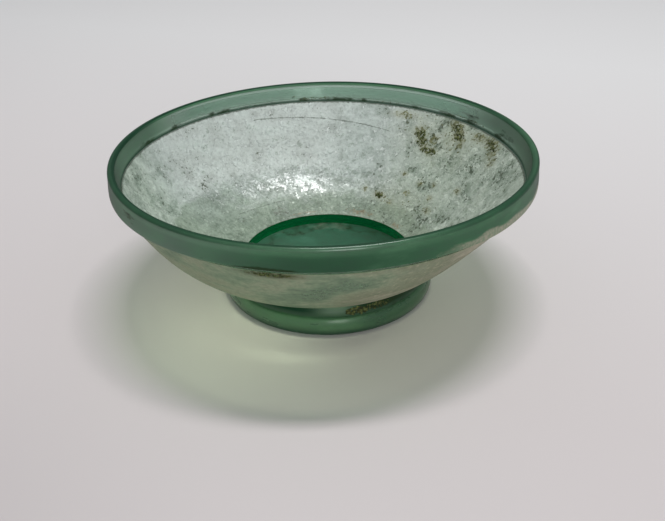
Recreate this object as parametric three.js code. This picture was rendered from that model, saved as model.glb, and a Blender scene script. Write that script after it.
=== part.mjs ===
// Free-blown blue-green glass bowl with a folded collar rim and a ring foot.
// Millimetres, +Z up. The bowl stands on z = 0 and the Z axis runs through the middle of its rim.
// A profile is a ring section: every point holds its radius, its height, how far its ring is
// drifted along X, and how much its ring leans, because a hand-blown wall is never quite true.

import * as THREE from 'three';

// Overall form
const bowlHeight = 57;
const rimRadius = 78.4;
const rimLeanShare = 0.0097;
const footOffset = 1;
const wallBulge = 3.3;
const ringSegments = 56;

// Collar: the rim folded out and down over the top of the wall
const collarHeight = 7.9;
const lipThickness = 2.65;
const lipSetback = 0.4;
const flapThickness = 1.3;
const slitWidth = 0.4;
const slitRoofDepth = 2.6;
const lipSteps = 6;
const flapEdgeSteps = 4;

// Wall: one curve from the floor well up to the collar
const wallThickness = 2.15;
const wellTop = 11.8;
const lowSlopeShare = 0.54;
const highSlopeShare = 1.49;
const lowHandleShare = 0.78;
const highHandleShare = 0.95;
const wallSteps = 9;

// Foot: the pinched neck and the rounded ring under it
const footRadius = 41.2;
const beadDepth = 1.7;
const neckThickness = 5.4;
const grooveHeight = 7.4;
const restWidth = 1.9;
const recessSetback = 2;
const footSteps = 7;
const recessSteps = 3;

// Floor, and the scar that the pontil rod left under it
const wellTaper = 0.7;
const floorTop = 7.8;
const floorThickness = 3.4;
const floorDome = 0.8;
const floorKick = 0.6;
const floorSteps = 4;
const scarRadius = 7.2;
const scarWidth = 1.8;
const scarHeight = 0.7;
const scarFlatMargin = 1.5;

// Weathering crust inside, weathering film outside, and what soil still clings to the bowl
const crustThickness = 0.3;
const filmThickness = 0.2;
const filmTopShare = 0.985;
const seatGap = 0.3;
const soilThickness = 0.45;
const soilColumns = 14;
const soilRows = 8;

// Where each clod lies: its middle and its span about the Z axis, in degrees from +X, and the
// middle and half of its height as shares of the wall curve, counted from the well
const crustSoils = [
    { name: 'soil_back_right', middle: 46.5, span: 12, middleShare: 0.82, halfShare: 0.06 },
    { name: 'soil_right', middle: 36, span: 9, middleShare: 0.93, halfShare: 0.03 },
    { name: 'soil_far_right', middle: 18.5, span: 7, middleShare: 0.95, halfShare: 0.02 },
    { name: 'soil_by_floor', middle: 56.5, span: 4, middleShare: 0.25, halfShare: 0.02 },
];
const collarSoil = {
    name: 'soil_under_collar', middle: -100, span: 11, middleShare: 0.95, halfShare: 0.025,
};
const grooveSoil = { name: 'soil_foot_groove', middle: -74, span: 15 };

// Places worked out from the sizes above
const collarBase = bowlHeight - collarHeight;
const wallRun = wallThickness / Math.sin(Math.atan(highSlopeShare));
const collarInner = rimRadius - flapThickness - slitWidth - wallRun;
const lipInner = rimRadius - lipSetback - lipThickness;
const slitRoof = bowlHeight - slitRoofDepth;
const neckRadius = footRadius - beadDepth;
const wellRadius = neckRadius - neckThickness;
const floorRadius = wellRadius - wellTaper;
const floorUnder = floorTop - floorThickness;
const scarSeat = floorUnder + floorKick;
const restInner = neckRadius - restWidth;
const recessRadius = restInner - recessSetback;

// A colour, roughness and metalness for each stuff that the bowl is made of
const finishes = {
    glass: { color: 0x5f9a80, roughness: 0.22, metalness: 0, opacity: 0.72 },
    crust: { color: 0xc3cbc2, roughness: 0.7, metalness: 0, opacity: 0.9 },
    film: { color: 0x8d9282, roughness: 0.75, metalness: 0, opacity: 0.8 },
    soil: { color: 0x6b5c38, roughness: 0.95, metalness: 0, opacity: 1 },
};

function finishOf(stuff) {
    const { color, roughness, metalness, opacity } = finishes[stuff];
    return new THREE.MeshStandardMaterial({
        color, roughness, metalness, opacity, transparent: opacity < 1,
    });
}

function ringPoint(radius, height, drift = 0, lean = 0) {
    return { radius, height, drift, lean };
}

// Points on an elliptical arc in the section plane, from one angle to another in radians
function arc(centre, reach, from, to, steps, drift, leanAt = () => 0) {
    const points = [];
    for (let step = 0; step <= steps; step++) {
        const angle = from + (to - from) * step / steps;
        const height = centre.height + reach.height * Math.sin(angle);
        const radius = centre.radius + reach.radius * Math.cos(angle);
        points.push(ringPoint(radius, height, drift, leanAt(height)));
    }
    return points;
}

// Turns a section into a solid ring, or a solid disc where it starts and ends on the axis
function revolve(name, stuff, profile) {
    const section = profile.map((point) => new THREE.Vector2(point.radius, point.height));
    const rings = [...profile];
    if (profile[0].radius > 0) {
        section.push(section[0].clone());
        rings.push(profile[0]);
    }
    const geometry = new THREE.LatheGeometry(section, ringSegments);
    geometry.rotateX(Math.PI / 2);
    const places = geometry.attributes.position;
    for (let index = 0; index < places.count; index++) {
        const ring = rings[index % rings.length];
        const x = places.getX(index);
        places.setX(index, x + ring.drift);
        places.setZ(index, places.getZ(index) + ring.lean * x);
    }
    geometry.computeVertexNormals();
    const mesh = new THREE.Mesh(geometry, finishOf(stuff));
    mesh.name = name;
    return mesh;
}

// The collar stands straight on the wall and leans more the nearer it comes to the lip
function collarLean(height) {
    return rimLeanShare * (height - collarBase) / collarHeight;
}

// The wall's inner line, drawn between its two end slopes
function innerWallCurve() {
    const low = new THREE.Vector2(wellRadius, wellTop);
    const high = new THREE.Vector2(collarInner, collarBase);
    const run = high.x - low.x;
    const rise = high.y - low.y;
    const lowRun = (rise - highSlopeShare * run) / (lowSlopeShare - highSlopeShare);
    const meeting = new THREE.Vector2(low.x + lowRun, low.y + lowSlopeShare * lowRun);
    const lowHandle = low.clone().lerp(meeting, lowHandleShare);
    const highHandle = high.clone().lerp(meeting, highHandleShare);
    return new THREE.CubicBezierCurve(low, lowHandle, highHandle, high);
}

const wallCurve = innerWallCurve();

// A point at some depth behind the wall's inner surface; a negative depth is inside the bowl
function behindWall(share, depth) {
    const place = wallCurve.getPoint(share);
    const along = wallCurve.getTangent(share);
    return new THREE.Vector2(place.x + depth * along.y, place.y - depth * along.x);
}

// The share of the wall curve at which its outer surface has come in to the neck
function shareAtNeck() {
    let low = 0;
    let high = 1;
    while (high - low > Number.EPSILON * ringSegments) {
        const middle = (low + high) / 2;
        if (behindWall(middle, wallThickness).x < neckRadius) {
            low = middle;
        } else {
            high = middle;
        }
    }
    return high;
}

const neckShare = shareAtNeck();

// The foot sits to one side of the rim, and the wall between them bulges to the other
function wallDrift(share) {
    const climb = Math.max(0, (share - neckShare) / (1 - neckShare));
    return footOffset * (1 - climb) - wallBulge * 4 * climb * (1 - climb);
}

function wallPoint(share, depth) {
    const place = behindWall(share, depth);
    return ringPoint(place.x, place.y, wallDrift(share));
}

function sharesBetween(from, to, steps) {
    return Array.from({ length: steps + 1 }, (_, step) => from + (to - from) * step / steps);
}

function bowlWall() {
    const outerShares = sharesBetween(neckShare, 1, wallSteps);
    const innerShares = sharesBetween(0, 1, wallSteps).reverse();
    const outer = outerShares.map((share) => wallPoint(share, wallThickness));
    const inner = innerShares.map((share) => wallPoint(share, 0));
    return revolve('bowl_wall', 'glass', [
        ringPoint(wellRadius, wellTop, footOffset),
        ringPoint(neckRadius, wellTop, footOffset),
        ...outer,
        ringPoint(collarInner + wallRun, collarBase),
        ...inner.slice(0, -1),
    ]);
}

// The lip rolls over into an outer flap, with a narrow slit left open between the two layers
function rimCollar() {
    const lipRadius = lipThickness / 2;
    const lipCentre = { radius: lipInner + lipRadius, height: bowlHeight - lipRadius };
    const edgeRadius = flapThickness / 2;
    const edgeCentre = { radius: rimRadius - edgeRadius, height: collarBase + edgeRadius };
    const slitMiddle = lipCentre.radius + lipSetback / 2;
    const leaned = (radius, height) => ringPoint(radius, height, 0, collarLean(height));
    return revolve('rim_collar', 'glass', [
        leaned(collarInner, collarBase),
        leaned(collarInner + wallRun, collarBase),
        leaned(slitMiddle - slitWidth / 2, slitRoof),
        leaned(slitMiddle + slitWidth / 2, slitRoof),
        ...arc(edgeCentre, { radius: edgeRadius, height: edgeRadius },
            -Math.PI, 0, flapEdgeSteps, 0, collarLean),
        ...arc(lipCentre, { radius: lipRadius, height: lipRadius },
            0, Math.PI, lipSteps, 0, collarLean),
    ]);
}

// The neck is the wall pinched together, and the ring below it is a half-round bead
function footRing() {
    const half = grooveHeight / 2;
    const bead = arc({ radius: neckRadius, height: half },
        { radius: beadDepth, height: half },
        -Math.PI / 2, Math.PI / 2, footSteps, footOffset);
    const hollow = arc({ radius: restInner, height: floorUnder },
        { radius: restInner - recessRadius, height: floorUnder },
        Math.PI, 3 * Math.PI / 2, recessSteps, footOffset);
    const at = (radius, height) => ringPoint(radius, height, footOffset);
    return revolve('foot_ring', 'glass', [
        ...bead,
        at(neckRadius, wellTop),
        at(wellRadius, wellTop),
        at(floorRadius, floorTop),
        at(floorRadius, floorUnder),
        ...hollow,
    ]);
}

function floorDisc() {
    const at = (radius, height) => ringPoint(radius, height, footOffset);
    const dome = sharesBetween(1, 0, floorSteps).map((share) => {
        return at(floorRadius * share, floorTop + floorDome * (1 - share * share));
    });
    return revolve('floor_disc', 'glass', [
        at(0, scarSeat),
        at(scarRadius + scarFlatMargin, scarSeat),
        at(floorRadius, floorUnder),
        ...dome,
    ]);
}

function pontilScar() {
    const at = (radius, height) => ringPoint(radius, height, footOffset);
    const bevel = scarWidth / 4;
    const scarInner = scarRadius - scarWidth;
    const scarFoot = scarSeat - scarHeight;
    return revolve('pontil_scar', 'glass', [
        at(scarInner + bevel, scarFoot),
        at(scarRadius - bevel, scarFoot),
        at(scarRadius, scarSeat),
        at(scarInner, scarSeat),
    ]);
}

function innerCrust() {
    const shares = sharesBetween(0, 1, wallSteps);
    const back = shares.map((share) => wallPoint(share, -seatGap));
    const face = shares.map((share) => wallPoint(share, -seatGap - crustThickness));
    return revolve('inner_crust', 'crust', [...back, ...face.reverse()]);
}

function outerFilm() {
    const shares = sharesBetween(neckShare, filmTopShare, wallSteps);
    const near = wallThickness + seatGap;
    const back = shares.map((share) => wallPoint(share, near));
    const face = shares.map((share) => wallPoint(share, near + filmThickness));
    return revolve('outer_film', 'film', [...face, ...back.reverse()]);
}

// A flat clod: a ball whose width follows the bowl round, and whose thickness stands off it.
// place makes a point of an angle about the axis, a share of the clod's half height, and a
// share of its thickness that grows away from the axis.
function soilClod(clod, place) {
    const geometry = new THREE.SphereGeometry(1, soilColumns, soilRows);
    const points = geometry.attributes.position;
    for (let index = 0; index < points.count; index++) {
        const turn = clod.middle + clod.span / 2 * points.getX(index);
        const point = place(points.getY(index), (points.getZ(index) + 1) / 2);
        const angle = THREE.MathUtils.degToRad(turn);
        const x = point.radius * Math.cos(angle) + point.drift;
        points.setXYZ(index, x, point.radius * Math.sin(angle), point.height);
    }
    geometry.computeVertexNormals();
    const mesh = new THREE.Mesh(geometry, finishOf('soil'));
    mesh.name = clod.name;
    return mesh;
}

// Soil on the face of the crust
function soilOnCrust(clod) {
    return soilClod(clod, (across, out) => {
        const depth = 2 * seatGap + crustThickness + soilThickness * (1 - out);
        return wallPoint(clod.middleShare + clod.halfShare * across, -depth);
    });
}

// Soil caught on the wall just under the flap
function soilUnderCollar(clod) {
    return soilClod(clod, (across, out) => {
        const depth = wallThickness + filmThickness + 2 * seatGap + soilThickness * out;
        return wallPoint(clod.middleShare + clod.halfShare * across, depth);
    });
}

// Soil packed round the neck, above the bead
function soilInGroove(clod) {
    const middle = (grooveHeight + wellTop) / 2;
    const half = middle - grooveHeight - seatGap;
    return soilClod(clod, (across, out) => {
        const radius = neckRadius + seatGap + soilThickness * out;
        return ringPoint(radius, middle + half * across, footOffset);
    });
}

const bowl = new THREE.Group();
bowl.add(bowlWall());
bowl.add(rimCollar());
bowl.add(footRing());
bowl.add(floorDisc());
bowl.add(pontilScar());
bowl.add(innerCrust());
bowl.add(outerFilm());
bowl.add(...crustSoils.map(soilOnCrust));
bowl.add(soilUnderCollar(collarSoil));
bowl.add(soilInGroove(grooveSoil));

export default bowl;
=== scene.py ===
import math
import random

import bmesh
import bpy
from mathutils import Matrix, Vector, noise


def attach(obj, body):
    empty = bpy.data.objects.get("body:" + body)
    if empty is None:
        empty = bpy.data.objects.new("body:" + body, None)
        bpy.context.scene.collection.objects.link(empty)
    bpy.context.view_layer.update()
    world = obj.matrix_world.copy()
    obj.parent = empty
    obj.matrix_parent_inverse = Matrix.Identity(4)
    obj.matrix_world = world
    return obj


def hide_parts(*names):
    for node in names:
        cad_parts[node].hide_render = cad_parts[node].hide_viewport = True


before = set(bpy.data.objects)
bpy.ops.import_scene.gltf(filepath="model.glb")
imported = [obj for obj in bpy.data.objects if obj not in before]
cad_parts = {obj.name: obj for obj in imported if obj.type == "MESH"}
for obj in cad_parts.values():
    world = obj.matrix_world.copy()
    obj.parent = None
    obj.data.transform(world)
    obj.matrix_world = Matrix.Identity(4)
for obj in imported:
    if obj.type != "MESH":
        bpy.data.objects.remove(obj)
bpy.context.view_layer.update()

# All sizes below are in millimetres and all angles in degrees, unless a name says otherwise.
MM = 0.001

# Overall form of the bowl, the same as in its solids
BOWL_HEIGHT = 57.0
RIM_RADIUS = 78.4
RIM_LEAN = 0.0097
FOOT_OFFSET = 1.0
WALL_BULGE = 3.3
COLLAR_HEIGHT = 7.9
LIP_THICKNESS = 2.65
LIP_SETBACK = 0.4
FLAP_THICKNESS = 1.3
SLIT_WIDTH = 0.4
SLIT_ROOF_DEPTH = 2.6
LIP_SQUARENESS = 0.82
WALL_THICKNESS = 2.15
WELL_TOP = 11.8
LOW_SLOPE = 0.54
HIGH_SLOPE = 1.49
LOW_HANDLE = 0.78
HIGH_HANDLE = 0.95
FOOT_RADIUS = 41.2
BEAD_DEPTH = 1.7
NECK_THICKNESS = 5.4
GROOVE_HEIGHT = 7.4
NECK_START = 0.2
REST_WIDTH = 1.9
RECESS_SETBACK = 2.0
WELL_TAPER = 0.7
FLOOR_TOP = 7.8
FLOOR_THICKNESS = 3.4
FLOOR_DOME = 0.8
FLOOR_KICK = 0.6
SCAR_RADIUS = 7.2
SCAR_WIDTH = 1.8
SCAR_HEIGHT = 0.7
SCAR_FLAT_MARGIN = 1.5

COLLAR_BASE = BOWL_HEIGHT - COLLAR_HEIGHT
WALL_RUN = WALL_THICKNESS / math.sin(math.atan(HIGH_SLOPE))
COLLAR_INNER = RIM_RADIUS - FLAP_THICKNESS - SLIT_WIDTH - WALL_RUN
LIP_INNER = RIM_RADIUS - LIP_SETBACK - LIP_THICKNESS
SLIT_ROOF = BOWL_HEIGHT - SLIT_ROOF_DEPTH
NECK_RADIUS = FOOT_RADIUS - BEAD_DEPTH
WELL_RADIUS = NECK_RADIUS - NECK_THICKNESS
FLOOR_RADIUS = WELL_RADIUS - WELL_TAPER
FLOOR_UNDER = FLOOR_TOP - FLOOR_THICKNESS
SCAR_SEAT = FLOOR_UNDER + FLOOR_KICK
REST_INNER = NECK_RADIUS - REST_WIDTH
RECESS_RADIUS = REST_INNER - RECESS_SETBACK

# The glass pieces stand this far apart where they meet, so that none lies on another's face
JOIN_GAP = 0.01
# The glass is spun in this many steps, and every spun piece from this many wedges
AROUND = 256
WEDGES = 16
# Where two wedges meet, points this near each other are one
WELD = 0.001
# A face lies on a line of the section if it is no further from it than this
LINE_SLACK = 0.03

# How far the wall wavers, between which heights it comes to that, and how quickly it changes
WAVER_DEPTH = 0.35
WAVER_START = 14.0
WAVER_FULL = 50.0
WAVER_RISE = 45.0
WAVER_ROUND = 1.1


def wall_ends():
    low = Vector((WELL_RADIUS, WELL_TOP))
    high = Vector((COLLAR_INNER, COLLAR_BASE))
    run, rise = high - low
    low_run = (rise - HIGH_SLOPE * run) / (LOW_SLOPE - HIGH_SLOPE)
    meeting = low + Vector((low_run, LOW_SLOPE * low_run))
    return low, low.lerp(meeting, LOW_HANDLE), high.lerp(meeting, HIGH_HANDLE), high


WALL_LINE = wall_ends()


def behind_wall(share, depth):
    """Radius and height of a point behind the wall's inner surface, at a share of its line."""
    a, b, c, d = WALL_LINE
    s, t = share, 1 - share
    place = a * t ** 3 + b * 3 * t * t * s + c * 3 * t * s * s + d * s ** 3
    along = ((b - a) * t * t + (c - b) * 2 * t * s + (d - c) * s * s).normalized()
    return place.x + depth * along.y, place.y - depth * along.x


def share_at_neck():
    low, high = 0.0, 1.0
    for _ in range(40):
        middle = (low + high) / 2
        if behind_wall(middle, WALL_THICKNESS)[0] < NECK_RADIUS:
            low = middle
        else:
            high = middle
    return high


NECK_SHARE = share_at_neck()


def wall_drift(share):
    climb = max(0.0, (share - NECK_SHARE) / (1 - NECK_SHARE))
    return FOOT_OFFSET * (1 - climb) - WALL_BULGE * 4 * climb * (1 - climb)


def collar_lean(height):
    return RIM_LEAN * (height - COLLAR_BASE) / COLLAR_HEIGHT


def smooth(low, high, value):
    t = min(1.0, max(0.0, (value - low) / (high - low)))
    return t * t * (3 - 2 * t)


def uneven(angle, fineness, level):
    """Smooth unevenness round the bowl, between -1 and 1, at an angle in radians."""
    return noise.noise(Vector((fineness * math.cos(angle), fineness * math.sin(angle), level)))


def waver(angle, height):
    """How far a hand-blown wall comes in at a place: nothing at the foot, more near the rim."""
    depth = WAVER_DEPTH * abs(math.sin(angle)) * smooth(WAVER_START, WAVER_FULL, height)
    return depth * (0.5 + 0.5 * uneven(angle, WAVER_ROUND, height / WAVER_RISE))


def on_bowl(angle, radius, height, drift=0.0, lean=0.0):
    """The place of a section's point once it is turned by an angle, in metres."""
    reach = radius - waver(angle, height)
    x = reach * math.cos(angle)
    return Vector((x + drift, reach * math.sin(angle), height + lean * x)) * MM


def on_wall(degrees, share, depth):
    radius, height = behind_wall(share, depth)
    return on_bowl(math.radians(degrees), radius, height, wall_drift(share))


def steps(low, high, count):
    return [low + (high - low) * i / count for i in range(count + 1)]


def between(start, end, count):
    """The points that divide a straight line into equal parts, without its ends."""
    return [(start[0] + (end[0] - start[0]) * i / count,
             start[1] + (end[1] - start[1]) * i / count) for i in range(1, count)]


def arc(centre, reach, start, end, count):
    angles = [math.radians(degrees) for degrees in steps(start, end, count)]
    return [(centre[0] + reach[0] * math.cos(angle), centre[1] + reach[1] * math.sin(angle))
            for angle in angles]


def wall_section():
    outer = [behind_wall(s, WALL_THICKNESS) + (wall_drift(s),) for s in steps(NECK_SHARE, 1, 44)]
    inner = [behind_wall(s, 0) + (wall_drift(s),) for s in steps(1, 0, 44)]
    low, high = WELL_TOP + JOIN_GAP, COLLAR_BASE - JOIN_GAP
    inner[0] = (inner[0][0], high, inner[0][2])
    return [(WELL_RADIUS, low, FOOT_OFFSET), (NECK_RADIUS, low, FOOT_OFFSET)] + outer + [
        (COLLAR_INNER + WALL_RUN, high, 0.0)] + inner[:-1]


def collar_section():
    half, edge, gap = LIP_THICKNESS / 2, FLAP_THICKNESS / 2, SLIT_WIDTH / 2
    low = COLLAR_BASE + JOIN_GAP
    seat = (COLLAR_INNER + WALL_RUN, low)
    lip = (LIP_INNER + half, BOWL_HEIGHT - half)
    hem = (RIM_RADIUS - edge, COLLAR_BASE + edge)
    slit = (lip[0] + LIP_SETBACK / 2, SLIT_ROOF - gap)
    slit_inside, slit_outside = (slit[0] - gap, slit[1]), (slit[0] + gap, slit[1])
    line = [(COLLAR_INNER, low), seat] + between(seat, slit_inside, 5) + [slit_inside]
    line += arc(slit, (gap, gap), 150, 30, 4)
    line += [slit_outside] + between(slit_outside, (hem[0] - edge, hem[1]), 5)
    line += arc(hem, (edge, edge), -180, 0, 12)
    line += [(RIM_RADIUS - (RIM_RADIUS - lip[0] - half) * smooth(0, 1, i / 6),
              hem[1] + (lip[1] - hem[1]) * i / 6) for i in range(1, 6)]
    for away in steps(0, math.pi, 28):
        across = math.copysign(abs(math.cos(away)) ** LIP_SQUARENESS, math.cos(away))
        line.append((lip[0] + half * across, lip[1] + half * math.sin(away) ** LIP_SQUARENESS))
    line += between((LIP_INNER, lip[1]), (COLLAR_INNER, low), 6)
    return [(r, z, 0.0, collar_lean(z)) for r, z in line]


def foot_section():
    half = GROOVE_HEIGHT / 2
    bead = arc((NECK_RADIUS, half), (BEAD_DEPTH, half), -90, 82, 22)
    hollow = arc((REST_INNER, FLOOR_UNDER), (REST_INNER - RECESS_RADIUS, FLOOR_UNDER),
                 180, 270, 10)
    top = WELL_TOP - JOIN_GAP
    line = bead + [
        (NECK_RADIUS, GROOVE_HEIGHT + NECK_START), (NECK_RADIUS, (GROOVE_HEIGHT + WELL_TOP) / 2),
        (NECK_RADIUS, top), (WELL_RADIUS, top),
        (WELL_RADIUS - WELL_TAPER / 2, (WELL_TOP + FLOOR_TOP) / 2),
        (FLOOR_RADIUS + JOIN_GAP, FLOOR_TOP), (FLOOR_RADIUS + JOIN_GAP, FLOOR_UNDER)]
    return [(r, z, FOOT_OFFSET) for r, z in line + hollow]


def floor_section():
    rim = FLOOR_RADIUS - JOIN_GAP
    line = [(0.0, SCAR_SEAT), (SCAR_RADIUS - SCAR_WIDTH, SCAR_SEAT), (SCAR_RADIUS, SCAR_SEAT),
            (SCAR_RADIUS + SCAR_FLAT_MARGIN, SCAR_SEAT), (rim, FLOOR_UNDER)]
    line += [(rim * s, FLOOR_TOP + FLOOR_DOME * (1 - s * s)) for s in steps(1, 0, 14)]
    return [(r, z, FOOT_OFFSET) for r, z in line]


def scar_section():
    seat = SCAR_SEAT - JOIN_GAP * 2
    low = SCAR_SEAT - SCAR_HEIGHT
    middle = SCAR_RADIUS - SCAR_WIDTH / 2
    line = arc((middle, seat), (SCAR_WIDTH / 2, seat - low), 180, 360, 10)
    return [(r, z, FOOT_OFFSET) for r, z in line]


def turn(section, around=AROUND):
    """Spins a closed section round the axis, one wedge and then copies of it. What each point
    holds after its radius and height goes into layers: its drift and lean, its share of the
    wall's line, and whether it is on the free face of a skin."""
    wedge = bmesh.new()
    layers = [wedge.verts.layers.float.new(name) for name in ("drift", "lean", "rise", "face")]
    points = []
    for entry in section:
        point = wedge.verts.new((entry[0], 0.0, entry[1]))
        for layer, value in zip(layers, entry[2:]):
            point[layer] = value
        points.append(point)
    edges = [wedge.edges.new(pair) for pair in zip(points, points[1:] + points[:1])]
    bmesh.ops.spin(wedge, geom=points + edges, cent=(0, 0, 0), axis=(0, 0, 1),
                   dvec=(0, 0, 0), angle=math.tau / WEDGES, steps=around // WEDGES)
    slice_mesh = bpy.data.meshes.new("wedge")
    wedge.to_mesh(slice_mesh)
    wedge.free()
    bm = bmesh.new()
    for _ in range(WEDGES):
        bm.from_mesh(slice_mesh)
        slice_mesh.transform(Matrix.Rotation(math.tau / WEDGES, 4, "Z"))
    bpy.data.meshes.remove(slice_mesh)
    bmesh.ops.remove_doubles(bm, verts=bm.verts[:], dist=WELD)
    bmesh.ops.recalc_face_normals(bm, faces=bm.faces[:])
    return bm


def mark_faces(bm, name, lines):
    """Marks the faces that were spun from these lines of the section."""
    mark = bm.faces.layers.float.new(name)
    for face in bm.faces:
        spots = [(math.hypot(v.co.x, v.co.y), v.co.z) for v in face.verts]
        for (r0, z0), (r1, z1) in lines:
            inside = all(min(r0, r1) <= r + LINE_SLACK and r - LINE_SLACK <= max(r0, r1)
                         and min(z0, z1) <= z + LINE_SLACK and z - LINE_SLACK <= max(z0, z1)
                         for r, z in spots)
            if inside:
                face[mark] = 1.0


def settle(bm):
    """Moves every point to its place on the bowl, in metres."""
    drift = bm.verts.layers.float["drift"]
    lean = bm.verts.layers.float["lean"]
    for vert in bm.verts:
        angle = math.atan2(vert.co.y, vert.co.x)
        radius = math.hypot(vert.co.x, vert.co.y)
        vert.co = on_bowl(angle, radius, vert.co.z, vert[drift], vert[lean])


def new_object(name, bm, finish):
    mesh = bpy.data.meshes.new(name)
    bm.to_mesh(mesh)
    bm.free()
    mesh.materials.append(finish)
    made = bpy.data.objects.new(name, mesh)
    bpy.context.scene.collection.objects.link(made)
    return made


def piece(name, bm, finish, stands_for=(), crease=32):
    made = new_object(name, bm, finish)
    made.data.shade_smooth()
    made.data.set_sharp_from_angle(angle=math.radians(crease))
    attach(made, "root")
    if stands_for:
        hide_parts(*stands_for)


# Finishes
def colour(code):
    """An sRGB hex colour as the linear colour that a socket takes."""
    parts = [int(code[i:i + 2], 16) / 255 for i in (1, 3, 5)]
    linear = [c / 12.92 if c <= 0.04045 else ((c + 0.055) / 1.055) ** 2.4 for c in parts]
    return (*linear, 1.0)


WHITE = (1.0, 1.0, 1.0, 1.0)


def set_stops(ramp, stops):
    while len(ramp.elements) < len(stops):
        ramp.elements.new(0.5)
    for element, (position, code) in zip(ramp.elements, stops):
        element.position, element.color = position, colour(code)


def add(tree, kind, inputs=None, stops=(), **settings):
    """Adds a node. An input is given a value, a socket to be linked from, or a node whose first
    output is linked. A colour ramp is given its stops."""
    node = tree.nodes.new("ShaderNode" + kind)
    for name, value in settings.items():
        setattr(node, name, value)
    if stops:
        set_stops(node.color_ramp, stops)
    for name, value in (inputs or {}).items():
        if isinstance(value, bpy.types.Node):
            value = next(socket for socket in value.outputs if socket.enabled)
        if isinstance(value, bpy.types.NodeSocket):
            tree.links.new(value, node.inputs[name])
        else:
            node.inputs[name].default_value = value
    return node


def start_finish(name, marks=()):
    """A new material, its empty node tree, the place on the bowl, and the marks left there."""
    material = bpy.data.materials.new(name)
    material.use_nodes = True
    tree = material.node_tree
    tree.nodes.clear()
    place = add(tree, "TexCoord").outputs["Object"]
    found = {kind: add(tree, "Attribute", attribute_name=kind).outputs["Fac"] for kind in marks}
    return material, tree, place, found


def per_size(size):
    """The scale at which a pattern on Object coordinates repeats at this size."""
    return 1.0 / (size * MM)


def end_skin(tree, skin, thick, thin, kept, tint):
    """Lets light through a skin where it isn't thick. On the way to the table light meets only
    the kept share of it, and nothing where it is thin."""
    path = add(tree, "LightPath")
    lets = add(tree, "Math", {0: thin, 1: -kept, 2: kept - 1.0}, operation="MULTIPLY_ADD")
    lit = add(tree, "Math", {0: path.outputs["Is Shadow Ray"], 1: lets, 2: 1.0},
              operation="MULTIPLY_ADD")
    cover = add(tree, "Math", {0: thick, 1: lit}, operation="MULTIPLY")
    clear = add(tree, "BsdfTransparent", {"Color": tint})
    both = add(tree, "MixShader", {0: cover, 1: clear, 2: skin})
    add(tree, "OutputMaterial", {"Surface": both})


# Of these marks, thick darkens the glass. It does so for the long way light takes through thick
# glass, and in many places as painted shade: see the marks of the wall, the collar and the foot.
GLASS_MARKS = ("hazy", "milky", "thick", "polished", "grimy")
# What the glass takes out of the light that crosses it: red the most, green the least
GLASS_TINT = (0.0, 0.47, 0.27, 1.0)


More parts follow.
